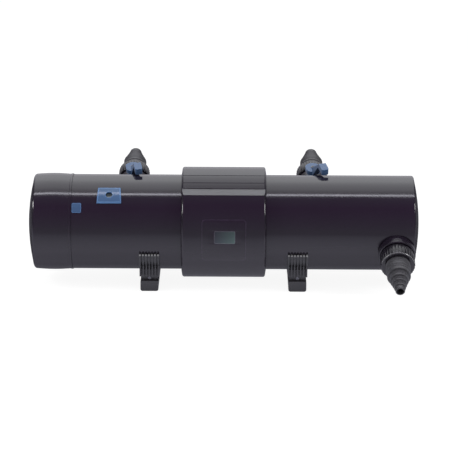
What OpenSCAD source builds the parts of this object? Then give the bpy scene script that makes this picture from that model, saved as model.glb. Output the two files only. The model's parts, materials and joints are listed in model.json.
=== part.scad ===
/* [Housing] */
// Length over both domed ends
body_len = 1043; // [1010:1:1200]
// Outside diameter of the housing tube
body_d = 253; // [245:1:265]
// Wall of the housing
wall = 5.5; // [4:0.5:7]
// Clear height under the housing
under_gap = 37; // [34:1:60]
// Rise of the domed ends
end_dome = 14.5; // [6:0.5:18]
// Rounding of the closed end
end_round = 5; // [4:1:14]

/* [Lamp head] */
// Length of the removable head cap
head_len = 118.5; // [105:0.5:135]
// How far the head cap swells beyond the tube
head_swell = 2; // [0:0.5:3]
// Wall of the head cap
head_wall = 4; // [3:0.5:5]
// Gap at the seam between head cap and housing
seam_gap = 0.8; // [0.4:0.1:1.5]
// Length of the spigot that plugs into the housing
spigot_len = 42; // [38:1:60]
// Thickness of the bulkhead
bulkhead_t = 10; // [8:1:14]
// Diameter of the seal cords
oring_d = 4; // [3:0.5:5]

/* [Lamp] */
// Outside diameter of the quartz sleeve
sleeve_d = 50; // [44:1:56]
// Wall of the quartz sleeve
sleeve_wall = 2; // [1.5:0.5:3]
// Length of the quartz sleeve
sleeve_len = 640; // [600:5:680]
// Length of the lamp's twin glass tubes
lamp_len = 520; // [480:5:560]
// Diameter of one lamp tube
lamp_tube_d = 17.5; // [15:0.5:19]
// Distance between the lamp tubes' centres
lamp_pitch = 20.5; // [20:0.5:22]
// Size of the electronic ballast [x, y, z]
ballast = [40, 120, 28];

/* [Cleaning rotor] */
// Number of wiper blades
blade_count = 3; // [2:1:4]
// Radial depth of a wiper blade
blade_depth = 24; // [18:1:30]
// Outside diameter of the water-driven wheel
wheel_d = 180; // [140:5:190]
// Number of vanes on the wheel
vane_count = 6; // [4:1:8]
// Pitch of the vanes
vane_pitch = 35; // [25:5:45]
// Axial length of the wheel
wheel_len = 34; // [26:1:40]
// Radial running clearance of the rotor's bearings
bearing_gap = 0.06; // [0.03:0.01:0.1]

/* [Band] */
// Width of the band at the housing
band_w = 227; // [215:1:240]
// Width of the band across its crown
band_crown_w = 222; // [200:1:224]
// Rise of the band above the housing
band_rise = 21; // [18:0.5:24]
// Rounding between the band's crown and its sides
band_round = 6; // [3:1:8]
// Wall of the band's covers
cover_wall = 4; // [3:0.5:5]
// Angle of the cover's top edge above the front
cover_top = 53; // [48:1:58]
// Angle of the cover's lower edge below the front
cover_low = 108; // [100:1:115]
// Fall of the bevel along the cover's top edge
cover_bevel = 9; // [6:1:11]
// Angles of the two grooves in the rear cover
groove_at = [60.8, 73];
// Depth of those grooves
groove_deep = 1.2; // [0.6:0.1:2]
// Width and height of the raised panel on the front cover
panel_size = [116, 113];
// Place of the panel's centre, along and above the housing axis
panel_at = [1, -9];
// Corner radius of the raised panel
panel_round = 9; // [5:1:14]
// Rise of the raised panel
panel_rise = 0.8; // [0.5:0.1:1.5]
// Width and height of the bare plate
plate_size = [54.5, 33.5];
// Place of the plate's centre, along and above the housing axis
plate_at = [3, 1];

/* [Ports] */
// Distances of the left and right outlet from the housing's ends
outlet_inset = [273, 280];
// Distance of the inlet from the closed end
inlet_inset = 64; // [58:0.5:80]
// Tilt of the ports: the inlet looks down and the outlets look up
port_tilt = 20; // [12:1:26]
// Height of a port's seat above the housing
port_rise = 6; // [4:0.5:10]
// Outside diameter of a port's flange
flange_d = 98; // [94:1:104]
// Thickness of the inlet's flange
inlet_flange_t = 17; // [12:1:20]
// Water bore of ports and valves
port_bore_d = 52.4; // [48:0.4:56]
// Outside diameter of the threaded stub under a union nut
stub_d = 74; // [70:1:78]
// Length of the threaded stub
stub_len = 31; // [26:1:34]
// Outside diameter of the inlet's union nut over its ribs
inlet_nut_d = 91; // [88:1:98]
// Outside diameter of the outlets' union nuts over their ribs
outlet_nut_d = 85; // [84:1:92]
// Length of a union nut
nut_len = 39; // [37:1:44]
// Number of grip ribs round a union nut
nut_ribs = 36; // [24:2:40]

/* [Hose tails] */
// Outside diameters of the hose steps, widest first
step_d = [63, 50, 40, 32, 25];
// Lengths of the hose steps, widest first
step_len = [24, 18, 15, 14, 14];
// Number of steps left on the inlet's hose tail
inlet_steps = 5; // [4:1:5]
// Number of steps left on the outlets' hose tails
outlet_steps = 4; // [3:1:5]
// Wall of a hose tail
tail_wall = 3; // [2.5:0.1:3.2]
// Length of the cone between nut and first step
root_len = 21; // [15:1:25]

/* [Outlet valves] */
// Length of the valve barrel
barrel_len = 49; // [47:1:60]
// Outside diameter of the valve barrel
barrel_d = 76; // [72:1:80]
// Thickness of the valve's flange
valve_flange_t = 8; // [6:1:10]
// Diameter of the valve spindle
spindle_d = 10; // [8:0.5:12]
// Thickness of the valve flap
flap_t = 4; // [3:0.5:5]
// Gap between flap and water bore
flap_gap = 0.6; // [0.4:0.1:1]
// Length of the lever from spindle to tip
lever_len = 113; // [105:1:120]
// Width of the lever at its tip
grip_w = 19; // [16:1:26]
// Thickness of the lever's grip
grip_t = 17; // [12:1:19]
// Length of the lever's flat grip
grip_len = 30; // [24:1:40]
// Diameter of the lever's hub
hub_d = 42; // [36:1:46]
// Angle of the left lever from fully open
left_angle = 11; // [0:1:90]
// Angle of the right lever from fully open
right_angle = 15; // [0:1:90]

/* [Sight window and lock] */
// Distance from the seam to the middle of the sight window
window_inset = 100.5; // [90:0.5:115]
// Angle of the window above the front
window_at = 49; // [45:1:56]
// Length along the housing, wide and narrow end
window_w = [65, 59];
// Height of the window round the housing
window_h = 47.5; // [43:0.5:56]
// Rise of the window above the housing
window_rise = 4.5; // [3:0.5:6]
// Diameter of the round sight glass
glass_d = 18; // [14:0.5:22]
// Length and height of the lock button
button_size = [24.5, 26.5];
// Angle of the button above the front
button_at = 32.5; // [28:0.5:36]
// Distance from the seam to the button
button_inset = 2; // [1:0.5:6]
// Rise of the button above the housing
button_rise = 1.5; // [1:0.5:3]
// Travel of the button
button_travel = 3; // [2:0.5:3]

/* [Feet] */
// Distance of each foot from its end of the housing
foot_inset = 324.5; // [310:0.5:340]
// Width of the foot block
foot_w = 48; // [43:1:53]
// Depth of the foot block from front to back
foot_depth = 200; // [180:2:220]
// Number of ribs on a foot
rib_count = 7; // [5:1:9]
// Distance between the ribs
rib_pitch = 8; // [7.5:0.1:8.5]
// Thickness of a rib
rib_t = 4.4; // [3:0.1:5]
// Angle below the front where the saddle ends
saddle_at = 26; // [20:1:32]
// Thickness of the saddle
saddle_t = 5; // [4:0.5:7]
// Rise of the ribs above the saddle
rib_rise = 5; // [3:0.5:7]
// Distance of the bolt holes from the foot's middle
bolt_y = 91; // [84:0.5:100]
// Diameter of the bolt holes
bolt_d = 7; // [5:0.5:8]

/* [Hidden] */
$fn = 96;

black = [0.07, 0.07, 0.08];
dark = [0.13, 0.13, 0.14];
blue = [0.12, 0.30, 0.62];
steel = [0.75, 0.76, 0.78];
rubber = [0.10, 0.10, 0.10];
clear = [0.80, 0.88, 0.92, 0.5];
white = [0.92, 0.92, 0.90];

// Clearance between fixed pieces that slip together
slip = 0.1;
// Clearance between fixed pieces that only lie together
lay = 0.2;
// A little more than nothing, so that a cut runs past a face
over = 1;

// Housing
body_r = body_d / 2;
bore_r = body_r - wall;
x_end = body_len / 2;
x_seam = -x_end + head_len;
x_rim = x_seam + seam_gap;
axis_h = body_r + under_gap;

// Lamp head
spigot_r = bore_r - 0.3;
spigot_wall = 6;
x_spigot = x_rim + spigot_len;
bulkhead_x = x_seam - 12;
hub_r = sleeve_d / 2 + 8;
hub_len = 34;
hub_x = bulkhead_x + bulkhead_t + hub_len;
sleeve_x = bulkhead_x + 4;
sleeve_end_x = sleeve_x + sleeve_len;
sleeve_bore_r = sleeve_d / 2 + 0.3;
head_screw_r = spigot_r - spigot_wall - 16;
head_screw_d = 5;
ballast_drop = 64;

// Lock
stem_r = 3;
button_x = x_rim + button_inset + button_size[0] / 2;
button_low = body_r - 1.2;
pocket_floor = button_low - button_travel - 0.1;
window_x = x_seam + window_inset;
glass_land = bore_r - 2;

// Rotor
blade_in_r = sleeve_d / 2 + 3;
blade_out_r = blade_in_r + blade_depth;
blade_t = 4;
vane_t = 3;
hub_core_r = 18;
strip_gap = 0.4;
strip_t = 1.6;
strip_seat = 4;
ring_w = 14;
ring_r = hub_r + 9;
pin_r = 6;
pin_len = 16;
rotor_x = hub_x - hub_len + 8;
rotor_end_x = sleeve_end_x + 7;
wheel_x = sleeve_end_x + 26;
strip_x = hub_x + 16;
strip_len = sleeve_end_x - sleeve_d / 2 - 18 - strip_x;

// Band
band_r = body_r + band_rise;
collar_r = body_r + lay;
collar_out_r = collar_r + 3.4;
edge_gap = 0.35;
cover_screw_at = [120, 165, 210];
cover_screw_inset = 16;
cover_screw_r = 1.9;
groove_w = 1.8;
plate_round = 3;

// Ports
seat_s = body_r + port_rise;
inlet_x = x_end - inlet_inset;
left_x = -x_end + outlet_inset[0];
right_x = x_end - outlet_inset[1];
front_turn = 90 + port_tilt;
rear_turn = port_tilt - 90;
bore_p = port_bore_d / 2;
inlet_union = seat_s + inlet_flange_t;
valve_union = seat_s + valve_flange_t + barrel_len;
stub_r = stub_d / 2;
nut_lift = 3;
nut_lip = 4;
nut_rib_r = 1.7;
nut_rib_end = 3.5;
gasket_t = 2.5;
tail_flange_t = nut_lift + nut_len - nut_lip - stub_len - gasket_t - 0.3;
tail_root_r = 33;

// Valves
spindle_s = seat_s + valve_flange_t + barrel_len / 2 - 6;
spindle_r = spindle_d / 2;
bonnet_top = 50;
gland_top = 55;
hub_low = 56;
hub_top = 68;
lever_bore_gap = 0.05;
lever_neck = 16;
web_rise = 18;
grip_corner = 5;
grip_low = sqrt(pow(body_r, 2) - pow(spindle_s - lever_len, 2)) + 3;

// Feet
foot_x = x_end - foot_inset;
foot_block_h = under_gap - 9;
block_round = 6;
lip_w = 5;
neck_w = foot_w - 5;
neck_y = foot_depth / 2 - 12;
neck_top = foot_block_h + 12;
rib_y = foot_depth / 2 - 2;
rib_merge = 70;
foot_screw_r = 4.2;
foot_screw_z = foot_block_h + 5.5;

// Points along an arc round [x, y], from angle a to angle b
function arc(x, y, r, a, b, n = 6) =
    [for (i = [0 : n]) let (t = a + (b - a) * i / n) [x + r * cos(t), y + r * sin(t)]];

// Profile of a domed end in [radius, distance from the dome's foot], from its edge to the axis
function dome(r, rise, n = 5) =
    let (big = (r * r + rise * rise) / (2 * rise))
    [for (i = [1 : n]) let (q = r * (1 - i / n)) [q, sqrt(big * big - q * q) - big + rise]];

// Sum of the first n entries of a list
function sum(v, n) = n == 0 ? 0 : v[n - 1] + sum(v, n - 1);

// Frame with its Z along the housing axis
module along_axis() {
    translate([0, 0, axis_h]) rotate([0, 90, 0]) children();
}

// Frame on the housing axis at x, whose Z looks out at an angle above the front
module outward(x, angle) {
    translate([x, 0, axis_h]) rotate([90 - angle, 0, 0]) children();
}

// Frame on the housing axis at x, whose Z runs out through a port
module port(x, turn) {
    translate([x, 0, axis_h]) rotate([turn, 0, 0]) children();
}

// Frame of a valve: Z runs up the spindle, Y runs out through the port
module valve(x) {
    port(x, rear_turn) translate([0, 0, spindle_s]) rotate([90, 0, 0]) children();
}

// Ring about Z between two heights
module ring(outer, inner, low, high) {
    translate([0, 0, low]) difference() {
        cylinder(r = outer, h = high - low);
        translate([0, 0, -over]) cylinder(r = inner, h = high - low + 2 * over);
    }
}

// Round bar about Z between two heights
module bar(r, low, high) {
    translate([0, 0, low]) cylinder(r = r, h = high - low);
}

// Rectangle centred on the origin with round corners
module rounded(size, r) {
    square([size[0] - 2 * r, size[1]], center = true);
    square([size[0], size[1] - 2 * r], center = true);
    for (x = [-1, 1], y = [-1, 1])
        translate([x * (size[0] / 2 - r), y * (size[1] / 2 - r)]) circle(r);
}

// Cross recess of a screw head whose top is at a height
module cross(w, top) {
    for (turn = [45, 135]) rotate(turn)
        translate([-w / 2, -0.6, top - 1.3]) cube([w, 1.2, 2]);
}

// Cord ring of a seal about Z
module seal(r, at) {
    translate([0, 0, at]) rotate_extrude() translate([r, 0]) circle(d = oring_d, $fn = 24);
}

// Wedge about the housing axis, from angle a to angle b above the front, b counted upwards
module wedge(a, b, w) {
    reach = 2 * band_r;
    steps = ceil((b - a) / 60);
    corners = [for (i = [0 : steps]) let (t = a + (b - a) * i / steps) [-reach * sin(t), -reach * cos(t)]];
    along_axis() translate([0, 0, -w / 2]) linear_extrude(w) polygon(concat([[0, 0]], corners));
}

// ---- Housing ----

module housing_skin(r, x_low, x_high, corner) {
    edge = x_high - end_dome;
    along_axis() rotate_extrude() polygon(concat(
        [[0, x_low], [r, x_low]],
        arc(r - corner, edge - corner, corner, 0, 90),
        [for (p = dome(r - corner, end_dome)) [p[0], p[1] + edge]]));
}

module button_prism(grow, low, high) {
    outward(button_x, button_at)
        translate([0, 0, low]) linear_extrude(high - low)
        rounded([button_size[0] + 2 * grow, button_size[1] + 2 * grow], 3);
}

module button_stem(r, low, high) {
    outward(button_x, button_at) bar(r, low, high);
}

module housing() {
    color(black) difference() {
        union() {
            housing_skin(body_r, x_rim, x_end, end_round);
            port(inlet_x, front_turn) bar(flange_d / 2 - 4, body_r - 30, seat_s);
            for (x = [left_x, right_x])
                port(x, rear_turn) bar(flange_d / 2 - 4, body_r - 30, seat_s);
        }
        housing_skin(bore_r, x_rim - over, x_end - wall, end_round - 2);
        port(inlet_x, front_turn) bar(bore_p, body_r - 60, seat_s + over);
        for (x = [left_x, right_x])
            port(x, rear_turn) bar(bore_p, body_r - 60, seat_s + over);
        outward(window_x, window_at) bar(glass_d / 2, body_r - 20, body_r + over);
        button_prism(0.3, pocket_floor, body_r + 5);
        button_stem(stem_r + 0.1, bore_r - over, body_r);
    }
}

// ---- Feet ----

module foot_side_shape() {
    out = body_r + lay + saddle_t + rib_rise;
    front = [-out * cos(saddle_at), -out * sin(saddle_at)];
    union() {
        difference() {
            circle(out);
            translate([0, 1.5 * out - out * sin(saddle_at)]) square([4 * out, 3 * out], center = true);
        }
        for (s = [-1, 1])
            translate([s * (out - rib_rise) * cos(saddle_at), -out * sin(saddle_at)]) circle(rib_rise);
        translate([-rib_y, neck_top - axis_h]) square([2 * rib_y, axis_h - neck_top - rib_merge]);
    }
}

module foot(x) {
    inner = body_r + lay;
    span = (rib_count - 1) * rib_pitch;
    color(dark) difference() {
        union() {
            for (i = [0 : rib_count - 1])
                translate([x - span / 2 + i * rib_pitch, 0, axis_h])
                rotate([90, 0, 90]) linear_extrude(rib_t, center = true) foot_side_shape();
            intersection() {
                translate([x, 0, 0]) along_axis()
                    translate([0, 0, -neck_w / 2]) cylinder(r = inner + saddle_t, h = neck_w);
                wedge(saddle_at - 180, -saddle_at, body_len);
            }
            translate([x - neck_w / 2, -neck_y, foot_block_h])
                cube([neck_w, 2 * neck_y, axis_h - body_r + 20 - foot_block_h]);
        }
        translate([x, 0, 0]) along_axis()
            translate([0, 0, -foot_w]) cylinder(r = inner, h = 2 * foot_w);
        translate([x - foot_w, -foot_depth, -over]) cube([2 * foot_w, 2 * foot_depth, foot_block_h + over]);
        foot_screw_holes(x);
    }
}

module foot_screw_holes(x) {
    for (side = [-1, 1])
        translate([x, side * (neck_y + over), foot_screw_z])
        rotate([side * 90, 0, 0]) cylinder(r = 2, h = 16 + over, $fn = 32);
}

module foot_block(x) {
    color(dark) difference() {
        translate([x, 0, 0]) rotate([90, 0, 0])
            linear_extrude(foot_depth, center = true) {
                translate([0, foot_block_h / 2]) rounded([foot_w, foot_block_h], block_round);
                for (side = [-1, 1]) translate([side * (foot_w - lip_w) / 2, foot_block_h - lip_w / 2]) {
                    circle(lip_w / 2);
                    translate([-lip_w / 2, -lip_w]) square([lip_w, lip_w]);
                }
            }
        for (side = [-1, 1])
            translate([x, side * bolt_y, -over]) cylinder(d = bolt_d, h = foot_block_h + 2 * over);
    }
}

module foot_screws() {
    color(steel) for (x = [-foot_x, foot_x], side = [-1, 1])
        translate([x, side * neck_y, foot_screw_z]) rotate([-side * 90, 0, 0]) difference() {
            union() {
                cylinder(r = foot_screw_r, h = 2.6, $fn = 40);
                translate([0, 0, -14]) cylinder(r = 1.9, h = 14, $fn = 32);
            }
            cross(5, 2.6);
        }
}

// ---- Band ----

module band_collar() {
    color(black) along_axis() ring(collar_out_r, collar_r, -band_crown_w / 2 + 8, band_crown_w / 2 - 8);
}

// Half section of the band in [radius, distance along the axis], set in from its outside by t
module band_section(t) {
    half = band_w / 2 - t;
    crown = band_crown_w / 2 - t;
    top = band_r - t;
    low = t == 0 ? collar_r : 0;
    polygon(concat(
        [[low, -half], [collar_r, -half]],
        arc(top - band_round, -crown + band_round, band_round, -75, 0),
        arc(top - band_round, crown - band_round, band_round, 0, 75),
        [[collar_r, half], [low, half]]));
}

module band_shell() {
    along_axis() difference() {
        rotate_extrude() band_section(0);
        rotate_extrude() band_section(cover_wall);
    }
}

module front_cover() {
    depth = band_r * (1 - cos(cover_bevel));
    color(black) difference() {
        intersection() {
            band_shell();
            wedge(-cover_low, cover_top, 2 * band_w);
            outward(0, cover_top + 1)
                translate([-band_w, -2 * band_r, -2 * band_r])
                cube([2 * band_w, 4 * band_r, 2 * band_r + band_r - depth]);
        }
        panel_prism(lay);
    }
}

module rear_cover() {
    gap = edge_gap / band_r * 180 / PI;
    color(black) difference() {
        intersection() {
            band_shell();
            wedge(cover_top + gap, 360 - cover_low - gap, 2 * band_w);
        }
        for (g = [for (a = groove_at) each [a, 180 - a]])
            outward(0, g) translate([-band_w, -groove_w / 2, band_r - groove_deep])
                cube([2 * band_w, groove_w, band_r]);
        cover_screw_places() bar(cover_screw_r + slip, band_r - 2 * cover_wall, band_r + over);
    }
}

module cover_screw_places() {
    for (x = [-1, 1], a = cover_screw_at) outward(x * (band_crown_w / 2 - cover_screw_inset), a) children();
}

module cover_screws() {
    top = band_r + 1.7;
    color(steel) cover_screw_places() difference() {
        union() {
            bar(2 * cover_screw_r, band_r + 0.05, top);
            bar(cover_screw_r, band_r - 12, band_r + 0.1);
        }
        cross(2.4 * cover_screw_r, top);
    }
}

module panel_prism(grow) {
    translate([panel_at[0], 0, axis_h + panel_at[1]]) rotate([90, 0, 0])
        linear_extrude(2 * band_r)
        rounded([panel_size[0] + 2 * grow, panel_size[1] + 2 * grow], panel_round + grow);
}

module panel() {
    color(black) difference() {
        intersection() {
            panel_prism(0);
            along_axis() ring(band_r + panel_rise, band_r - 1.3, -band_w, band_w);
        }
        plate_prism(slip);
    }
}

module plate_prism(grow) {
    translate([plate_at[0], 0, axis_h + plate_at[1]]) rotate([90, 0, 0]) linear_extrude(2 * band_r)
        rounded([plate_size[0] + 2 * grow, plate_size[1] + 2 * grow], plate_round + grow);
}

module blank_plate() {
    color(steel) intersection() {
        plate_prism(0);
        along_axis() ring(band_r + panel_rise + 0.6, band_r - 1.3, -band_w, band_w);
    }
}

// ---- Sight window and lock ----

module window_plan(grow) {
    h = window_h / 2 + grow;
    wide = window_w[0] / 2 + grow;
    narrow = window_w[1] / 2 + grow;
    polygon([[-wide, -h], [wide, -h], [narrow, h], [-narrow, h]]);
}

module window_layer(grow, rise) {
    intersection() {
        outward(window_x, window_at) linear_extrude(2 * body_r) window_plan(grow);
        along_axis() ring(body_r + rise, body_r + 0.05, -x_end, x_end);
    }
}

module window_frame() {
    color(blue) difference() {
        union() {
            window_layer(0, window_rise - 1.5);
            window_layer(-2, window_rise);
        }
        outward(window_x, window_at) bar(glass_d / 2, 0, body_r * 2);
    }
}

module sight_glass() {
    color(clear) outward(window_x, window_at) {
        bar(glass_d / 2 - slip, glass_land, bore_r + 1);
        bar(glass_d / 2 + 4, glass_land - 3, glass_land);
    }
}

module glass_seal() {
    color(rubber) outward(window_x, window_at)
        ring(glass_d / 2 + 3.5, glass_d / 2 + slip, glass_land + 0.02, bore_r - 0.7);
}

module lock_button() {
    color(blue) {
        intersection() {
            button_prism(0, button_low, body_r + 10);
            along_axis() bar(body_r + button_rise, -x_end, x_end, $fn = 360);
        }
        button_stem(stem_r, bore_r + 0.3, button_low + 0.5);
    }
}

module lock_spring() {
    color(steel) outward(button_x, button_at)
        ring(stem_r + 2, stem_r + 0.8, pocket_floor, button_low);
}

// ---- Lamp head ----

module cap_profile(t) {
    r = body_r + 1 - t;
    low = -x_end + t;
    edge = low + end_dome;
    round_r = end_round + 3 - t;
    polygon(concat(
        [[0, x_seam + (t > 0 ? over : 0)], [r + 0.6, x_seam + (t > 0 ? over : 0)], [r + 0.6, x_seam - 5]],
        [for (i = [0 : 8]) let (q = i / 8)
            [r - 0.4 + head_swell * sin(180 * q), x_seam - 6 - q * (x_seam - 6 - edge - round_r)]],
        arc(r - 0.4 - round_r, edge + round_r, round_r, 0, -90),
        [for (p = dome(r - 0.4 - round_r, end_dome)) [p[0], edge - p[1]]]));
}

module head_cap() {
    color(black) difference() {
        union() {
            difference() {
                along_axis() rotate_extrude() cap_profile(0);
                along_axis() rotate_extrude() cap_profile(head_wall);
            }
            along_axis() ring(body_r - 2, spigot_r + slip, bulkhead_x, x_seam);
            for (a = [45 : 90 : 315])
                outward(0, a) translate([0, 0, head_screw_r]) rotate([0, 90, 0])
                    bar(6, -x_end + end_dome + 8, bulkhead_x - slip);
        }
        for (a = [45 : 90 : 315])
            outward(0, a) translate([0, 0, head_screw_r]) rotate([0, 90, 0])
                bar(head_screw_d / 2, bulkhead_x - 30, bulkhead_x);
        gland_place() bar(10, -20, 10);
    }
}

module gland_place() {
    outward(-x_end + head_len / 2, 196) translate([0, 0, body_r + head_swell]) children();
}

module bulkhead() {
    color(dark) difference() {
        along_axis() {
            bar(spigot_r, bulkhead_x, bulkhead_x + bulkhead_t);
            ring(spigot_r, spigot_r - spigot_wall, bulkhead_x + bulkhead_t, x_spigot);
            bar(hub_r, bulkhead_x + bulkhead_t, hub_x);
        }
        along_axis() bar(sleeve_bore_r, bulkhead_x - over, hub_x + over);
        along_axis() ring(bore_r, bore_r - oring_d + 0.8, x_spigot - 8 - oring_d / 2 - 0.3,
            x_spigot - 8 + oring_d / 2 + 0.3);
        button_stem(stem_r + 0.7, bore_r - button_travel - 0.6, body_r);
        for (a = [45 : 90 : 315])
            outward(0, a) translate([0, 0, head_screw_r]) rotate([0, 90, 0])
                bar(head_screw_d / 2 + 0.3, bulkhead_x - over, bulkhead_x + bulkhead_t + over);
    }
}

module bulkhead_seal() {
    color(rubber) along_axis() ring(bore_r - slip, bore_r - oring_d + 1, x_spigot - 8 - oring_d / 2,
        x_spigot - 8 + oring_d / 2);
}

module head_screws() {
    color(steel) for (a = [45 : 90 : 315])
        outward(0, a) translate([0, 0, head_screw_r]) rotate([0, 90, 0]) {
            bar(4.5, bulkhead_x + bulkhead_t + 0.05, bulkhead_x + bulkhead_t + 3);
            bar(head_screw_d / 2 - slip, bulkhead_x - 28, bulkhead_x + bulkhead_t + 0.1);
        }
}

module cable_gland() {
    color(dark) gland_place() difference() {
        union() {
            bar(9.8, -8, 1);
            translate([0, 0, 1]) cylinder(r = 15, h = 6, $fn = 6);
            bar(12, 7, 16);
            translate([0, 0, 16]) cylinder(r1 = 12, r2 = 8, h = 5);
        }
        bar(4.5, -9, 22);
    }
}

module ballast_box() {
    size = ballast;
    color(white) translate([bulkhead_x - size[0], -size[1] / 2, axis_h - ballast_drop])
        cube([size[0] - 0.05, size[1], size[2]]);
}

// ---- Sleeve and lamp ----

module quartz_sleeve() {
    r = sleeve_d / 2;
    color(clear) along_axis() difference() {
        union() {
            bar(r, sleeve_x, sleeve_end_x - r);
            translate([0, 0, sleeve_end_x - r]) sphere(r);
        }
        bar(r - sleeve_wall, sleeve_x - over, sleeve_end_x - r);
        translate([0, 0, sleeve_end_x - r]) sphere(r - sleeve_wall);
    }
}

module sleeve_nut() {
    color(dark) along_axis() difference() {
        union() {
            bar(hub_r - 0.6, hub_x, hub_x + 10);
            for (a = [0 : 30 : 330]) rotate(a) translate([hub_r - 2.4, 0, hub_x + 2]) cylinder(r = 1.6, h = 8);
        }
        bar(sleeve_bore_r, hub_x - over, hub_x + 12);
        bar(sleeve_d / 2 + oring_d, hub_x - over, hub_x + oring_d);
    }
}

module sleeve_seal() {
    color(rubber) along_axis()
        ring(sleeve_d / 2 + oring_d - slip, sleeve_d / 2 + slip, hub_x + 0.1, hub_x + oring_d - 0.1);
}

module lamp_tubes() {
    start = bulkhead_x + 40;
    stop = start + lamp_len;
    r = lamp_tube_d / 2;
    color(white) along_axis() {
        for (side = [-1, 1]) translate([0, side * lamp_pitch / 2, 0]) {
            bar(r, start, stop - r);
            translate([0, 0, stop - r]) sphere(r);
        }
        translate([0, 0, stop - 3 * r]) rotate([90, 0, 0])
            translate([0, 0, -lamp_pitch / 2]) cylinder(r = r / 2, h = lamp_pitch);
    }
}

module lamp_base() {
    start = bulkhead_x + 14;
    color(white) along_axis() {
        bar(sleeve_d / 2 - sleeve_wall - 1.5, start, bulkhead_x + 40);
        for (a = [45 : 90 : 315]) rotate(a) translate([9, 0, 0]) bar(1.2, start - 7, start);
    }
}

module lamp_socket() {
    start = bulkhead_x - 22;
    stop = bulkhead_x + 14;
    color(white) along_axis() difference() {
        union() {
            bar(sleeve_d / 2 - sleeve_wall - 1, bulkhead_x, stop);
            bar(sleeve_d / 2 + 8, start, bulkhead_x);
        }
        for (a = [45 : 90 : 315]) rotate(a) translate([9, 0, 0]) bar(1.4, stop - 9, stop + over);
    }
}

module sleeve_end_bearing() {
    r = sleeve_d / 2;
    color(dark) along_axis() difference() {
        union() {
            bar(r + 2.5, sleeve_end_x - r - 14, sleeve_end_x + 4);
            bar(pin_r, sleeve_end_x, sleeve_end_x + 6 + pin_len);
        }
        bar(r + slip, sleeve_end_x - r - 15, sleeve_end_x - r);
        translate([0, 0, sleeve_end_x - r]) sphere(r + slip);
    }
}

// ---- Cleaning rotor ----

// Half section of a wiper blade in [radius, distance along the axis]
module blade_side() {
    foot_r = hub_r + 3;
    foot_x = hub_x + 13;
    polygon([
        [foot_r, rotor_x + 2], [blade_out_r, rotor_x + 2], [blade_out_r, wheel_x + 2], [hub_core_r / 2, wheel_x + 2],
        [hub_core_r / 2, rotor_end_x + 0.5], [blade_in_r, rotor_end_x + 0.5], [blade_in_r, foot_x], [foot_r, foot_x]]);
}

// One vane of the wheel, before its tip is turned round
module vane() {
    translate([10, 0, wheel_x + wheel_len / 2]) rotate([vane_pitch, 0, 0])
        translate([0, -vane_t / 2, -wheel_len]) cube([wheel_d, vane_t, 2 * wheel_len]);
}

module rotor() {
    color(dark) along_axis() difference() {
        union() {
            bar(ring_r, rotor_x, rotor_x + ring_w);
            bar(hub_core_r, rotor_end_x, wheel_x + wheel_len);
            for (i = [0 : blade_count - 1]) rotate(i * 360 / blade_count)
                rotate([90, 0, 0]) linear_extrude(blade_t, center = true) blade_side();
            intersection() {
                bar(wheel_d / 2, wheel_x, wheel_x + wheel_len);
                for (i = [0 : vane_count - 1]) rotate((i + 0.5) * 360 / vane_count) vane();
            }
        }
        bar(hub_r + bearing_gap, rotor_x - over, rotor_x + ring_w + over);
        bar(pin_r + bearing_gap, rotor_end_x - over, wheel_x + wheel_len - 6);
        for (i = [0 : blade_count - 1]) rotate(i * 360 / blade_count)
            translate([blade_in_r - over, -strip_t / 2 - slip, strip_x])
            cube([strip_seat + over, strip_t + 2 * slip, strip_len + 1]);
    }
}

module wiper_strips() {
    color(rubber) along_axis() for (i = [0 : blade_count - 1]) rotate(i * 360 / blade_count)
        translate([sleeve_d / 2 + strip_gap, -strip_t / 2, strip_x + 0.5])
        cube([blade_in_r + strip_seat - slip - sleeve_d / 2 - strip_gap, strip_t, strip_len]);
}

// ---- Inlet ----

module inlet_flange() {
    edge = 3;
    color(black) port(inlet_x, front_turn) difference() {
        union() {
            rotate_extrude() polygon(concat(
                [[0, seat_s], [flange_d / 2, seat_s]],
                arc(flange_d / 2 - edge, inlet_union - edge, edge, 0, 90),
                [[0, inlet_union]]));
            bar(stub_r, inlet_union, inlet_union + stub_len);
        }
        bar(bore_p, seat_s - over, inlet_union + stub_len + over);
        seal(bore_p + 6, seat_s);
    }
}

module port_seal(x, turn) {
    color(rubber) port(x, turn) difference() {
        seal(bore_p + 6, seat_s);
        translate([0, 0, seat_s - oring_d]) cylinder(r = bore_p + 20, h = oring_d);
    }
}

// ---- Union: gasket, nut and hose tail, above a stub that starts at s ----

module union_gasket(s) {
    color(rubber) ring(stub_r - 1, bore_p + 2, s + stub_len, s + stub_len + gasket_t);
}

module union_nut(s, d) {
    low = s + nut_lift;
    high = low + nut_len;
    body = d / 2 - nut_rib_r / 2;
    color(black) difference() {
        union() {
            rotate_extrude() polygon([
                [0, low], [body - 1, low], [body, low + 1], [body, high - nut_rib_end],
                [body - 1.5, high - 1], [body - 4, high], [0, high]]);
            for (i = [0 : nut_ribs - 1]) rotate(i * 360 / nut_ribs)
                translate([d / 2 - nut_rib_r, 0, low + 2])
                cylinder(r = nut_rib_r, h = nut_len - nut_rib_end - 2, $fn = 32);
        }
        bar(stub_r + 0.4, low - over, high - nut_lip);
        bar(tail_root_r + 0.6, low, high + over);
    }
}

// Outline of one hose step: two barbs, or a plain land on the last step
function step_points(i, last, z) =
    let (r = step_d[i] / 2, l = step_len[i], low = r - 1.3)
    i == last
        ? [[r, z], [r, z + l - 1.5], [r - 1.5, z + l]]
        : [[r, z], [r, z + 3], [low, z + 4], [r, z + l / 2], [low, z + l / 2 + 1],
            [r - 0.4, z + l - 1], [r - 1.4, z + l]];

function bore_points(i, z) =
    let (r = min(step_d[i] / 2 - tail_wall, bore_p - 1), l = step_len[i])
    [[r, z - (i == 0 ? 0 : 3)], [r, z + l - 6]];

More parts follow.
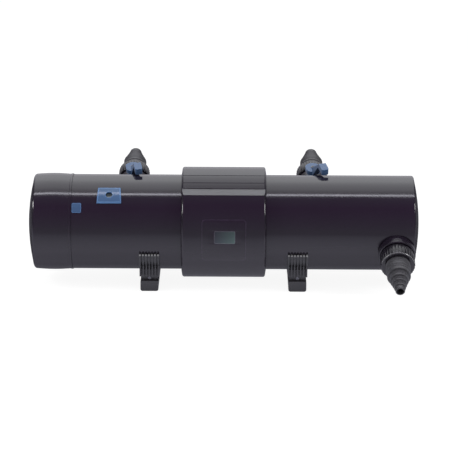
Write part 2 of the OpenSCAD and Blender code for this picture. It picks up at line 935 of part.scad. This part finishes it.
module hose_tail(s, steps) {
    flange_low = s + stub_len + gasket_t;
    flange_high = flange_low + tail_flange_t;
    face = s + nut_lift + nut_len;
    first = face + root_len;
    tip = first + sum(step_len, steps);
    color(black) difference() {
        rotate_extrude() polygon(concat(
            [[0, flange_low], [stub_r - 0.2, flange_low], [stub_r - 0.2, flange_high],
                [tail_root_r, flange_high], [tail_root_r, face + 3], [tail_root_r - 2, face + 5],
                [tail_root_r - 2, first - 4], [step_d[0] / 2 + 1, first - 3], [step_d[0] / 2 + 0.5, first]],
            [for (i = [0 : steps - 1]) each step_points(i, steps - 1, first + sum(step_len, i))],
            [[0, tip]]));
        rotate_extrude() polygon(concat(
            [[0, flange_low - over], [bore_p - 1, flange_low - over], [bore_p - 1, face - 4]],
            [for (i = [0 : steps - 1]) each bore_points(i, first + sum(step_len, i))],
            [[step_d[steps - 1] / 2 - tail_wall, tip + over], [0, tip + over]]));
    }
}

// ---- Outlet valves ----

module valve_body(x) {
    base = seat_s + valve_flange_t;
    bottom = barrel_d / 2 - 5;
    color(black) difference() {
        union() {
            port(x, rear_turn) {
                bar(flange_d / 2 - 2, seat_s, base);
                bar(barrel_d / 2, base, valve_union);
                bar(stub_r, valve_union, valve_union + stub_len);
            }
            valve(x) bar(13, 0, bonnet_top);
            valve(x) bar(9, -barrel_d / 2 - 3, 0);
        }
        port(x, rear_turn) bar(bore_p, seat_s - over, valve_union + stub_len + over);
        port(x, rear_turn) seal(bore_p + 6, seat_s);
        valve(x) bar(spindle_r + bearing_gap, -bottom, bonnet_top + over);
    }
}

module flap(x, angle) {
    r = bore_p - flap_gap;
    color(dark) valve(x) rotate(angle) difference() {
        union() {
            rotate([0, 90, 0]) translate([0, 0, -flap_t / 2]) cylinder(r = r, h = flap_t);
            bar(spindle_r + 2.5, -r + 2.5, r - 2.5);
        }
        bar(spindle_r + lever_bore_gap, -r - over, r + over);
    }
}

module spindle(x) {
    bottom = barrel_d / 2 - 6;
    color(steel) valve(x) bar(spindle_r, -bottom, hub_top - 2);
}

module gland_nut(x) {
    color(dark) valve(x) difference() {
        translate([0, 0, bonnet_top]) cylinder(r = 14, h = gland_top - bonnet_top, $fn = 6);
        bar(spindle_r + bearing_gap, bonnet_top - over, gland_top + over);
    }
}

// Side view of the lever: hub, cranked arm and grip over the housing
module lever_side() {
    polygon([
        [-hub_d / 2, hub_low], [hub_d / 2 - 4, hub_low], [hub_d / 2 + 4, hub_low + 5],
        [lever_len - grip_len - 12, grip_low - 3], [lever_len - grip_len - 2, grip_low], [lever_len, grip_low],
        [lever_len, grip_low + grip_t], [lever_len - grip_len, grip_low + grip_t],
        [hub_d / 2 + 2, hub_top + web_rise],
        [hub_d / 2 - 2, hub_top], [-hub_d / 2, hub_top]]);
}

module lever_plan() {
    neck = lever_neck / 2;
    tip = grip_w / 2;
    circle(d = hub_d);
    polygon([[0, -neck], [lever_len - 2 * grip_corner, -tip], [lever_len - 2 * grip_corner, tip], [0, neck]]);
    translate([lever_len - 2 * grip_corner, 0]) rounded([4 * grip_corner, grip_w], grip_corner);
}

module lever(x, angle) {
    color(blue) valve(x) rotate(angle - 90) difference() {
        intersection() {
            linear_extrude(2 * body_r) lever_plan();
            rotate([90, 0, 0]) linear_extrude(2 * grip_w, center = true) lever_side();
        }
        bar(spindle_r + lever_bore_gap, hub_low - over, hub_top - 2);
        bar(2, hub_top - 3, hub_top + over);
    }
}

module lever_screw(x) {
    color(steel) valve(x) difference() {
        bar(5, hub_top, hub_top + 2.5);
        cross(6, hub_top + 2.5);
    }
}

// ---- Outlet sides ----

module outlet_gasket(x) { port(x, rear_turn) union_gasket(valve_union); }
module outlet_nut(x) { port(x, rear_turn) union_nut(valve_union, outlet_nut_d); }
module outlet_tail(x) { port(x, rear_turn) hose_tail(valve_union, outlet_steps); }

housing();
foot(-foot_x);  // foot_left
foot(foot_x);  // foot_right
foot_block(-foot_x);  // foot_block_left
foot_block(foot_x);  // foot_block_right
foot_screws();
band_collar();
front_cover();
rear_cover();
cover_screws();
panel();
blank_plate();
window_frame();
sight_glass();
glass_seal();
lock_button();
lock_spring();
head_cap();
bulkhead();
bulkhead_seal();
head_screws();
cable_gland();
ballast_box();
quartz_sleeve();
sleeve_nut();
sleeve_seal();
lamp_tubes();
lamp_base();
lamp_socket();
sleeve_end_bearing();
rotor();
wiper_strips();
inlet_flange();
port_seal(inlet_x, front_turn);  // inlet_flange_seal
port(inlet_x, front_turn) union_gasket(inlet_union);  // inlet_gasket
port(inlet_x, front_turn) union_nut(inlet_union, inlet_nut_d);  // inlet_nut
port(inlet_x, front_turn) hose_tail(inlet_union, inlet_steps);  // inlet_tail
valve_body(left_x);  // left_valve_body
port_seal(left_x, rear_turn);  // left_valve_seal
flap(left_x, left_angle);  // left_flap
spindle(left_x);  // left_spindle
gland_nut(left_x);  // left_gland_nut
lever(left_x, left_angle);  // left_lever
lever_screw(left_x);  // left_lever_screw
outlet_gasket(left_x);  // left_gasket
outlet_nut(left_x);  // left_nut
outlet_tail(left_x);  // left_tail
valve_body(right_x);  // right_valve_body
port_seal(right_x, rear_turn);  // right_valve_seal
flap(right_x, right_angle);  // right_flap
spindle(right_x);  // right_spindle
gland_nut(right_x);  // right_gland_nut
lever(right_x, right_angle);  // right_lever
lever_screw(right_x);  // right_lever_screw
outlet_gasket(right_x);  // right_gasket
outlet_nut(right_x);  // right_nut
outlet_tail(right_x);  // right_tail
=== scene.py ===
"""Canister filter with ultraviolet lamp: materials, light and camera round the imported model.

Lengths are in metres, colours are linear, and the frame is the part's own: x along the housing to the right,
y to the back, z up from the floor.
"""
import json
import math

import bpy
from mathutils import Matrix, Vector


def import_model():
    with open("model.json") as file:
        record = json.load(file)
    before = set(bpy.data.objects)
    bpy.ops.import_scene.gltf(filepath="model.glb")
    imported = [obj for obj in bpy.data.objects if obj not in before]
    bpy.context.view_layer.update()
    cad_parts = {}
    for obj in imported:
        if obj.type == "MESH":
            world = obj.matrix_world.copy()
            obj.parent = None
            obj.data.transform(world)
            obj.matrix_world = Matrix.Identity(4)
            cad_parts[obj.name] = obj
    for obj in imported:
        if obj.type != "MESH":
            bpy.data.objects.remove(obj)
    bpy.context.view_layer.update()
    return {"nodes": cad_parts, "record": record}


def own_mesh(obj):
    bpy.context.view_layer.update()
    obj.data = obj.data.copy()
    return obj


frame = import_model()
NODES = frame["nodes"]

# The blank plate's left and right end, along the housing
PLATE = NODES["blank_plate"]
PLATE_XS = [(PLATE.matrix_world @ Vector(corner)).x for corner in PLATE.bound_box]
PLATE_ENDS = (min(PLATE_XS), max(PLATE_XS))

# The middle of the housing's axis, at which camera and lamps aim
AXIS = Vector((0.0, 0.0, 0.1635))

# Camera: lens and sensor in millimetres, and how far right of and below the axis it aims
DISTANCE = 6.0
ELEVATION = math.radians(17.0)
ROLL = math.radians(0.31)
LENS = 171.8
SENSOR = 36.0
AIM_RIGHT = 0.0275
AIM_DOWN = 0.0325

# Studio: the strip lamp overhead, the lamp at each side, the light all round, and the floor
STRIP_SIZE = (2.6, 0.17)
STRIP_PLACE = (0.0, -0.21, 2.30)
STRIP_RADIANCE = 7.5
STRIP_COLOUR = (0.95, 0.95, 1.05)
SIDE_SIZE = (0.30, 0.80)
SIDE_PLACE = (1.85, -0.60, 1.20)
SIDE_RADIANCE = 14.0
AMBIENT = 0.50
FLOOR_SIZE = 16.0
FLOOR_PAPER = (0.9, 0.9, 0.9)
FLOOR_SEEN = 0.72
FLOOR_GLOW = 1.25

# Noise scales, per metre
CLOUD_SCALE = 9.0
SMEAR_SCALE = 26.0
WAVE_SCALE = 14.0
BRUSH_SCALE = 300.0
BLOOM_SCALE = 40.0
DUST_SCALE = 1400.0
GLASS_SMEAR_SCALE = 30.0

# Dot product of rounded and true normal, from what counts as an edge to what counts as flat
EDGE_TO_FLAT = (0.90, 0.99)

# The plate's colours: left end, right end, brush lines and rim
PLATE_LEFT = (0.052, 0.054, 0.066)
PLATE_RIGHT = (0.105, 0.165, 0.145)
PLATE_LINES = (0.085, 0.090, 0.100)
PLATE_RIM = (0.30, 0.31, 0.32)
PLATE_RIM_WIDTH = 0.0016


# ---- Node helpers ----

def new_material(name):
    """A material with its tree and its Principled shader."""
    mat = bpy.data.materials.new(name)
    mat.use_nodes = True
    tree = mat.node_tree
    return mat, tree, tree.nodes["Principled BSDF"]


def place(tree, stretch=(1.0, 1.0, 1.0)):
    """Object coordinates, stretched."""
    coords = tree.nodes.new("ShaderNodeTexCoord")
    mapping = tree.nodes.new("ShaderNodeMapping")
    mapping.inputs["Scale"].default_value = stretch
    tree.links.new(coords.outputs["Object"], mapping.inputs["Vector"])
    return mapping.outputs["Vector"]


def noise(tree, scale, detail=3.0, stretch=(1.0, 1.0, 1.0)):
    """Noise of that scale, from 0 to 1."""
    texture = tree.nodes.new("ShaderNodeTexNoise")
    texture.inputs["Scale"].default_value = scale
    texture.inputs["Detail"].default_value = detail
    tree.links.new(place(tree, stretch), texture.inputs["Vector"])
    return texture.outputs["Fac"]


def spread(tree, value, low, high, from_low=0.0, from_high=1.0):
    """A value mapped from one range to another."""
    node = tree.nodes.new("ShaderNodeMapRange")
    node.inputs["From Min"].default_value = from_low
    node.inputs["From Max"].default_value = from_high
    node.inputs["To Min"].default_value = low
    node.inputs["To Max"].default_value = high
    tree.links.new(value, node.inputs["Value"])
    return node.outputs["Result"]


def mix(tree, factor, first, second):
    """Colour between two, by a factor."""
    node = tree.nodes.new("ShaderNodeMix")
    node.data_type = "RGBA"
    tree.links.new(factor, node.inputs["Factor"])
    for socket, colour in ((node.inputs["A"], first), (node.inputs["B"], second)):
        if isinstance(colour, bpy.types.NodeSocket):
            tree.links.new(colour, socket)
        else:
            socket.default_value = (*colour, 1.0)
    return node.outputs["Result"]


def bump(tree, height, strength, depth, normal=None):
    """Bump of that depth in metres."""
    node = tree.nodes.new("ShaderNodeBump")
    node.inputs["Strength"].default_value = strength
    node.inputs["Distance"].default_value = depth
    tree.links.new(height, node.inputs["Height"])
    if normal is not None:
        tree.links.new(normal, node.inputs["Normal"])
    return node.outputs["Normal"]


def edges(tree, radius):
    """1 on edges within the radius, 0 elsewhere."""
    soft = tree.nodes.new("ShaderNodeBevel")
    soft.inputs["Radius"].default_value = radius
    flat = tree.nodes.new("ShaderNodeNewGeometry")
    dot = tree.nodes.new("ShaderNodeVectorMath")
    dot.operation = "DOT_PRODUCT"
    tree.links.new(soft.outputs["Normal"], dot.inputs[0])
    tree.links.new(flat.outputs["Normal"], dot.inputs[1])
    return spread(tree, dot.outputs["Value"], 1.0, 0.0, *EDGE_TO_FLAT)


def scaled(colour, factor):
    """Colour times a factor."""
    return tuple(c * factor for c in colour)


def graded(tree, value, stops):
    """Colour that follows a value through the stops, divided by its brightest part, and that part.

    Each stop is a value and a colour.
    """
    brightest = max(max(colour) for _, colour in stops)
    first, last = stops[0][0], stops[-1][0]
    ramp = tree.nodes.new("ShaderNodeValToRGB")
    marks = ramp.color_ramp.elements
    while len(marks) < len(stops):
        marks.new(0.5)
    for mark, (position, colour) in zip(marks, stops):
        mark.position = (position - first) / (last - first)
        mark.color = (*scaled(colour, 1.0 / brightest), 1.0)
    tree.links.new(spread(tree, value, 0.0, 1.0, first, last), ramp.inputs["Fac"])
    return ramp.outputs["Color"], brightest


# ---- Materials ----

def plastic(name, colour, rough, mottle=0.12, uneven=0.04, wave=0.0, grain=0.0, grain_scale=900.0, wear_and_highlight=1.6,
            edge=0.0012, specular=0.5, soft=0.0):
    """Moulded plastic.

    mottle is the share by which the colour varies, and uneven how far the roughness does. wave and grain are
    the depths of sink marks and mould grain. worn is how much brighter the edges are within edge of a corner,
    partly as rubbed wear and partly as a painted highlight, and soft is the radius by which corners are
    rounded in shading.
    """
    mat, tree, shader = new_material(name)
    clouds = noise(tree, CLOUD_SCALE, detail=5.0)
    base = mix(tree, clouds, scaled(colour, 1.0 - mottle), scaled(colour, 1.0 + mottle))
    # Edges made brighter: partly rubbed wear, partly a painted highlight
    base = mix(tree, edges(tree, edge), base, scaled(colour, wear_and_highlight))
    tree.links.new(base, shader.inputs["Base Color"])
    shader.inputs["Specular IOR Level"].default_value = specular
    smears = noise(tree, SMEAR_SCALE, detail=6.0, stretch=(0.5, 1.0, 1.0))
    tree.links.new(spread(tree, smears, rough - uneven, rough + uneven), shader.inputs["Roughness"])
    normal = None
    if soft:
        rounding = tree.nodes.new("ShaderNodeBevel")
        rounding.inputs["Radius"].default_value = soft
        normal = rounding.outputs["Normal"]
    if wave:
        waves = noise(tree, WAVE_SCALE, detail=2.0, stretch=(0.6, 1.0, 1.0))
        normal = bump(tree, waves, strength=1.0, depth=wave, normal=normal)
    if grain:
        grains = noise(tree, grain_scale, detail=2.0)
        normal = bump(tree, grains, strength=0.6, depth=grain, normal=normal)
    if normal is not None:
        tree.links.new(normal, shader.inputs["Normal"])
    return mat


def metal(name, colour, rough, brushed):
    """Bright metal with fine brush lines."""
    mat, tree, shader = new_material(name)
    lines = noise(tree, BRUSH_SCALE, detail=4.0, stretch=brushed)
    tree.links.new(mix(tree, lines, scaled(colour, 0.86), colour), shader.inputs["Base Color"])
    tree.links.new(spread(tree, lines, rough - 0.08, rough + 0.08), shader.inputs["Roughness"])
    tree.links.new(bump(tree, lines, strength=0.3, depth=0.00003), shader.inputs["Normal"])
    shader.inputs["Metallic"].default_value = 1.0
    return mat


def bare_plate():
    """Dark brushed plate with a pale rim, greener towards its right end."""
    mat, tree, shader = new_material("plate")
    lines = noise(tree, BRUSH_SCALE, detail=4.0, stretch=(0.2, 6.0, 6.0))
    parts = tree.nodes.new("ShaderNodeSeparateXYZ")
    tree.links.new(place(tree), parts.inputs["Vector"])
    along = spread(tree, parts.outputs["X"], 0.0, 1.0, *PLATE_ENDS)
    tone = mix(tree, along, PLATE_LEFT, PLATE_RIGHT)
    tone = mix(tree, spread(tree, lines, 0.0, 0.5), tone, PLATE_LINES)
    tree.links.new(mix(tree, edges(tree, PLATE_RIM_WIDTH), tone, PLATE_RIM), shader.inputs["Base Color"])
    tree.links.new(spread(tree, lines, 0.26, 0.40), shader.inputs["Roughness"])
    shader.inputs["Metallic"].default_value = 0.8
    return mat


def rubber(name, colour):
    """Soft black rubber with a dusty bloom."""
    mat, tree, shader = new_material(name)
    bloom = noise(tree, BLOOM_SCALE, detail=6.0)
    tree.links.new(mix(tree, bloom, colour, scaled(colour, 1.9)), shader.inputs["Base Color"])
    tree.links.new(spread(tree, bloom, 0.62, 0.8), shader.inputs["Roughness"])
    dust = bump(tree, noise(tree, DUST_SCALE, detail=2.0), strength=0.4, depth=0.00005)
    tree.links.new(dust, shader.inputs["Normal"])
    return mat


def glass(name, tint, rough=0.02, ior=1.46, clear=1.0):
    """Glass with faint smears, and milky where clear is below 1."""
    mat, tree, shader = new_material(name)
    smears = noise(tree, GLASS_SMEAR_SCALE, detail=5.0)
    tree.links.new(mix(tree, smears, scaled(tint, 0.96), tint), shader.inputs["Base Color"])
    tree.links.new(spread(tree, smears, rough, rough + 0.05), shader.inputs["Roughness"])
    shader.inputs["Transmission Weight"].default_value = clear
    shader.inputs["IOR"].default_value = ior
    return mat


MATERIALS = {
    "black_gloss": plastic("black_gloss", (0.015, 0.011, 0.019), 0.13, wave=0.00007, wear_and_highlight=2.2),
    "nut_gloss": plastic("nut_gloss", (0.013, 0.011, 0.016), 0.16, grain=0.00002, wear_and_highlight=1.6, edge=0.0005),
    # The panel's edges made much brighter as a painted highlight line round it
    "panel_gloss_painted_edge": plastic("panel_gloss_painted_edge", (0.015, 0.011, 0.019), 0.13, wear_and_highlight=7.0, edge=0.0020),
    "end_grain": plastic("end_grain", (0.030, 0.028, 0.034), 0.62, grain=0.00006, wear_and_highlight=1.2, specular=0.15),
    # Light grey painted on as a highlight on the front cover's chamfer, on a satin surface
    "rim_satin_painted_highlight": plastic("rim_satin_painted_highlight", (0.115, 0.117, 0.122), 0.24, wear_and_highlight=1.2),
    # Pale grey painted on as a highlight on the ribs' upper ends
    "rib_end_painted_highlight": plastic("rib_end_painted_highlight", (0.30, 0.30, 0.31), 0.45, wear_and_highlight=1.2),
    # Grey painted on as a highlight on the top of the inlet nut's chamfer
    "nut_rim_painted_highlight": plastic("nut_rim_painted_highlight", (0.15, 0.15, 0.16), 0.20, wear_and_highlight=1.2),
    "foot_satin": plastic("foot_satin", (0.040, 0.039, 0.044), 0.32, grain=0.00003, wear_and_highlight=1.9),
    "grey_matte": plastic("grey_matte", (0.062, 0.061, 0.068), 0.46, grain=0.00005, wear_and_highlight=1.5),
    # The next two have their edges made much brighter as painted highlights
    "blue": plastic("blue", (0.050, 0.108, 0.225), 0.30, mottle=0.06, wear_and_highlight=2.4, edge=0.0030),
    "window_blue": plastic(
        "window_blue", (0.064, 0.132, 0.262), 0.17, mottle=0.06, wear_and_highlight=2.6, edge=0.0036, soft=0.0010),
    "lever_blue": plastic("lever_blue", (0.068, 0.126, 0.248), 0.32, mottle=0.08, wear_and_highlight=1.6, edge=0.0030),
    "white_plastic": plastic("white_plastic", (0.70, 0.70, 0.67), 0.45, mottle=0.03, grain=0.00003, wear_and_highlight=1.1),
    "steel": metal("steel", (0.62, 0.62, 0.63), 0.26, (1.0, 1.0, 8.0)),
    "plate": bare_plate(),
    "rubber": rubber("rubber", (0.018, 0.018, 0.019)),
    "clear_glass": glass("clear_glass", (0.62, 0.74, 0.74), rough=0.25, clear=0.68),
    "dark_steel": metal("dark_steel", (0.16, 0.16, 0.17), 0.34, (1.0, 1.0, 8.0)),
    "lamp_glass": glass("lamp_glass", (0.94, 0.95, 0.99), rough=0.04, ior=1.5),
}

# Nodes whose look differs from their slot's
OWN_MATERIAL = {
    "panel": "panel_gloss_painted_edge", "window_frame": "window_blue",
    "inlet_nut": "nut_gloss", "left_nut": "nut_gloss", "right_nut": "nut_gloss",
    "foot_left": "foot_satin", "foot_right": "foot_satin",
    "foot_block_left": "foot_satin", "foot_block_right": "foot_satin",
    "left_lever": "lever_blue", "right_lever": "lever_blue",
    "left_lever_screw": "dark_steel", "right_lever_screw": "dark_steel", "foot_screws": "dark_steel"}


# ---- Faces with matte grain or a painted highlight of their own ----

# The housing's and the cap's domed ends: past that x, and facing along it
END_FACE_X = 0.500
END_FACING = 0.9

# The faces found below get a pale grey painted highlight
# The ribs' rounded upper ends: centre across and up, radius, and what tells their faces from the others
RIB_END = Vector((0.1183, 0.1037))
RIB_END_R = 0.0049
RIB_END_SLACK = 0.0004
RIB_END_UP = 0.15
RIB_END_SIDEWAYS = 0.1

# The upper half of this chamfer gets a grey painted highlight
# The inlet nut's front chamfer: where it lies along the inlet's axis, from the hose end, its inner radius, and
# how far its faces turn along the axis
INLET = next(mount for mount in frame["record"]["mounts"] if mount["name"] == "hose_inlet")
INLET_TIP, INLET_AXIS = Vector(INLET["pos_m"]), Vector(INLET["axis"])
NUT_RIM_ALONG = (-0.1030, -0.0995)
NUT_RIM_R = 0.0430
NUT_RIM_FACING = (0.3, 0.8)

# This chamfer gets a light grey painted highlight on a satin surface
# The front cover's chamfer: its slope, and how close a face's normal comes to it
RIM_SLOPE = math.radians(54.0)
RIM_NORMAL = Vector((0.0, -math.cos(RIM_SLOPE), math.sin(RIM_SLOPE)))
RIM_MATCH = 0.99995


def domed_end(middle, normal):
    """Whether a face of that middle and normal is on a domed end."""
    return abs(middle.x) > END_FACE_X and abs(normal.x) > END_FACING


def painted_cover_rim(middle, normal):
    """Whether it is on the cover's chamfer, which gets the painted highlight."""
    return normal.dot(RIM_NORMAL) > RIM_MATCH


def rib_end_painted_highlight(middle, normal):
    """Whether it is on a rib's upper end, which gets the painted highlight."""
    out = Vector((abs(middle.y), middle.z)) - RIB_END
    on_end = abs(out.length - RIB_END_R) < RIB_END_SLACK
    return on_end and normal.z > RIB_END_UP and abs(normal.x) < RIB_END_SIDEWAYS


def nut_rim_painted_highlight(middle, normal):
    """Whether it is on the upper half of the nut's front chamfer, which gets the painted highlight."""
    along = (middle - INLET_TIP).dot(INLET_AXIS)
    out = (middle - INLET_TIP - INLET_AXIS * along).length
    in_place = NUT_RIM_ALONG[0] < along < NUT_RIM_ALONG[1] and out > NUT_RIM_R
    return in_place and NUT_RIM_FACING[0] < normal.dot(INLET_AXIS) < NUT_RIM_FACING[1] and normal.z > 0.0


GRAIN_OR_HIGHLIGHT_FACES = {
    "housing": ("end_grain", domed_end),
    "head_cap": ("end_grain", domed_end),
    "front_cover": ("rim_satin_painted_highlight", painted_cover_rim),
    "foot_left": ("rib_end_painted_highlight", rib_end_painted_highlight),
    "foot_right": ("rib_end_painted_highlight", rib_end_painted_highlight),
    "inlet_nut": ("nut_rim_painted_highlight", nut_rim_painted_highlight)}

# ---- Dressing the nodes ----

# Rounding of moulded edges
ROUNDED = {
    "panel": 0.0012, "lock_button": 0.0008, "foot_left": 0.0010, "foot_right": 0.0010,
    "foot_block_left": 0.0016, "foot_block_right": 0.0016, "left_lever": 0.0018, "right_lever": 0.0018,
    "inlet_nut": 0.0008, "left_nut": 0.0008, "right_nut": 0.0008}

# Vertices this close are joined before that, and edges sharper than this are rounded
WELD = 0.00001
BEVEL_ANGLE = math.radians(35.0)


def round_edges(obj, width):
    """Rounds the sharp edges by a bevel."""
    weld = obj.modifiers.new("weld", "WELD")
    weld.merge_threshold = WELD
    bevel = obj.modifiers.new("bevel", "BEVEL")
    bevel.width = width
    bevel.segments = 3
    bevel.limit_method = "ANGLE"
    bevel.angle_limit = BEVEL_ANGLE
    bevel.harden_normals = True
    bevel.miter_outer = "MITER_ARC"


def give_grain_or_highlight(obj, grain_or_highlight, picked):
    """Gives the picked faces their own matte grain or painted highlight."""
    obj.data.materials.append(MATERIALS[grain_or_highlight])
    for face in obj.data.polygons:
        if picked(face.center, face.normal):
            face.material_index = 1


def dress_nodes():
    """Gives each CAD node its material, its faces with matte grain or a painted highlight, and its rounded
    edges.
    """
    slots = {part["node"]: part["material_slot"] for part in frame["record"]["subparts"]}
    for name, obj in NODES.items():
        mat = MATERIALS[OWN_MATERIAL.get(name, slots[name])]
        obj.data.materials.clear()
        obj.data.materials.append(mat)
        if name in GRAIN_OR_HIGHLIGHT_FACES:
            give_grain_or_highlight(obj, *GRAIN_OR_HIGHLIGHT_FACES[name])
        if name in ROUNDED:
            round_edges(obj, ROUNDED[name])


def squeeze_spring():
    """Gives the lock spring a mesh of its own."""
    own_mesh(NODES["lock_spring"])


# ---- Studio ----

def camera():
    """The camera at the photograph's viewing angle."""
    data = bpy.data.cameras.new("camera")
    data.sensor_fit = "HORIZONTAL"
    data.sensor_width = SENSOR
    data.lens = LENS
    obj = bpy.data.objects.new("camera", data)
    bpy.context.collection.objects.link(obj)
    up = Vector((0.0, math.sin(ELEVATION), math.cos(ELEVATION)))
    back = Vector((0.0, -math.cos(ELEVATION), math.sin(ELEVATION)))
    aim = AXIS + Vector((AIM_RIGHT, 0.0, 0.0)) - up * AIM_DOWN
    tilt = Matrix.Rotation(math.pi / 2 - ELEVATION, 4, "X") @ Matrix.Rotation(ROLL, 4, "Z")
    obj.matrix_world = Matrix.Translation(aim + back * DISTANCE) @ tilt
    bpy.context.scene.camera = obj


def softbox(name, size, spot, radiance, colour=(1.0, 1.0, 1.0)):
    """A rectangular lamp that faces the housing's axis."""
    data = bpy.data.lights.new(name, "AREA")
    data.shape = "RECTANGLE"
    data.size, data.size_y = size
    data.energy = radiance * math.pi * size[0] * size[1]
    data.color = colour
    obj = bpy.data.objects.new(name, data)
    obj.location = spot
    obj.rotation_euler = (AXIS - Vector(spot)).to_track_quat("-Z", "Y").to_euler()
    bpy.context.collection.objects.link(obj)


def lamps():
    """A long strip overhead, which draws the bright line along the housing, and one to each side."""
    softbox("strip", STRIP_SIZE, STRIP_PLACE, STRIP_RADIANCE, STRIP_COLOUR)
    x, y, z = SIDE_PLACE
    softbox("side_right", SIDE_SIZE, (x, y, z), SIDE_RADIANCE)
    softbox("side_left", SIDE_SIZE, (-x, y, z), SIDE_RADIANCE)


def reflected(tree, path):
    """1 for rays that a surface reflects or lets through, 0 for others."""
    either = tree.nodes.new("ShaderNodeMath")
    either.operation = "MAXIMUM"
    tree.links.new(path.outputs["Is Glossy Ray"], either.inputs[0])
    tree.links.new(path.outputs["Is Transmission Ray"], either.inputs[1])
    return either.outputs[0]


# Painted light and shade on the floor's reflections: brightest just in front of the housing, darkest under it
# The floor as a glossy surface sees it: distance behind the axis in metres, and colour
FLOOR_PAINTED_LIGHT_AND_SHADE = [
    (-1.50, (0.40, 0.38, 0.46)), (-0.80, (0.46, 0.45, 0.54)), (-0.45, (0.78, 0.78, 0.92)),
    (-0.25, (0.98, 0.98, 1.14)), (-0.18, (0.98, 0.98, 1.14)), (-0.10, (0.62, 0.62, 0.72)),
    (-0.06, (0.34, 0.34, 0.40)), (0.0, (0.18, 0.18, 0.21)), (0.50, (0.30, 0.30, 0.34))]


def floor():
    """White floor, which keeps the shadow; reflections of it show painted light and shade instead."""
    bpy.ops.mesh.primitive_plane_add(size=FLOOR_SIZE)
    obj = bpy.context.object
    obj.name = "floor"
    mat, tree, shader = new_material("floor")
    tree.nodes.remove(shader)
    paper = tree.nodes.new("ShaderNodeBsdfDiffuse")
    paper.inputs["Color"].default_value = (*FLOOR_PAPER, 1.0)
    path = tree.nodes.new("ShaderNodeLightPath")
    parts = tree.nodes.new("ShaderNodeSeparateXYZ")
    tree.links.new(place(tree), parts.inputs["Vector"])
    # Reflected rays see the floor in its painted light and shade along y
    painted_row, brightest = graded(tree, parts.outputs["Y"], FLOOR_PAINTED_LIGHT_AND_SHADE)
    glow = tree.nodes.new("ShaderNodeEmission")
    white = scaled((1.0, 1.0, 1.0), FLOOR_GLOW / brightest)
    tree.links.new(mix(tree, path.outputs["Is Camera Ray"], painted_row, white), glow.inputs["Color"])
    glow.inputs["Strength"].default_value = brightest
    share = tree.nodes.new("ShaderNodeMath")
    share.operation = "MAXIMUM"
    tree.links.new(spread(tree, path.outputs["Is Camera Ray"], 0.0, FLOOR_SEEN), share.inputs[0])
    tree.links.new(reflected(tree, path), share.inputs[1])
    blend = tree.nodes.new("ShaderNodeMixShader")
    tree.links.new(share.outputs[0], blend.inputs["Fac"])
    tree.links.new(paper.outputs["BSDF"], blend.inputs[1])
    tree.links.new(glow.outputs["Emission"], blend.inputs[2])
    tree.links.new(blend.outputs["Shader"], tree.nodes["Material Output"].inputs["Surface"])
    obj.data.materials.append(mat)


# The room as a glossy surface sees it: angle up from the front horizon in degrees, and colour
ROOM = [
    (0, (0.38, 0.34, 0.45)), (12, (0.32, 0.26, 0.38)), (30, (0.27, 0.17, 0.32)), (50, (0.23, 0.10, 0.27)),
    (78, (0.30, 0.24, 0.36)), (92, (1.0, 1.0, 1.05)), (104, (1.75, 1.78, 1.85)), (135, (2.0, 2.05, 2.1)),
    (160, (1.0, 1.0, 1.05)), (180, (0.72, 0.72, 0.76))]

# Its side walls: the x of a direction from which they start and are full, and their light
ROOM_SIDE = (0.32, 0.62)
ROOM_SIDE_DIM = 0.16


def world():
    """White to the camera, even to surfaces, and in reflections a dark room with a white back wall."""
    scene_world = bpy.data.worlds.new("studio")
    bpy.context.scene.world = scene_world
    scene_world.use_nodes = True
    tree = scene_world.node_tree
    sky = tree.nodes["Background"]
    coords = tree.nodes.new("ShaderNodeTexCoord")
    parts = tree.nodes.new("ShaderNodeSeparateXYZ")
    tree.links.new(coords.outputs["Generated"], parts.inputs["Vector"])
    front = tree.nodes.new("ShaderNodeMath")
    front.operation = "MULTIPLY"
    front.inputs[1].default_value = -1.0
    tree.links.new(parts.outputs["Y"], front.inputs[0])
    angle = tree.nodes.new("ShaderNodeMath")
    angle.operation = "ARCTAN2"
    tree.links.new(parts.outputs["Z"], angle.inputs[0])
    tree.links.new(front.outputs[0], angle.inputs[1])
    degrees = tree.nodes.new("ShaderNodeMath")
    degrees.operation = "DEGREES"
    tree.links.new(angle.outputs[0], degrees.inputs[0])
    arch, brightest = graded(tree, degrees.outputs[0], ROOM)
    side = tree.nodes.new("ShaderNodeMath")
    side.operation = "ABSOLUTE"
    tree.links.new(parts.outputs["X"], side.inputs[0])
    walls = spread(tree, side.outputs[0], 0.0, 1.0, *ROOM_SIDE)
    sky_colour = mix(tree, walls, arch, scaled((1.0, 1.0, 1.1), ROOM_SIDE_DIM / brightest))
    path = tree.nodes.new("ShaderNodeLightPath")
    room = mix(tree, reflected(tree, path), scaled((1.0, 1.0, 1.0), AMBIENT / brightest), sky_colour)
    seen = mix(tree, path.outputs["Is Camera Ray"], room, scaled((1.0, 1.0, 1.0), 1.0 / brightest))
    tree.links.new(seen, sky.inputs["Color"])
    sky.inputs["Strength"].default_value = brightest


camera()
dress_nodes()
squeeze_spring()
lamps()
floor()
world()
bpy.context.scene.view_settings.view_transform = "Standard"
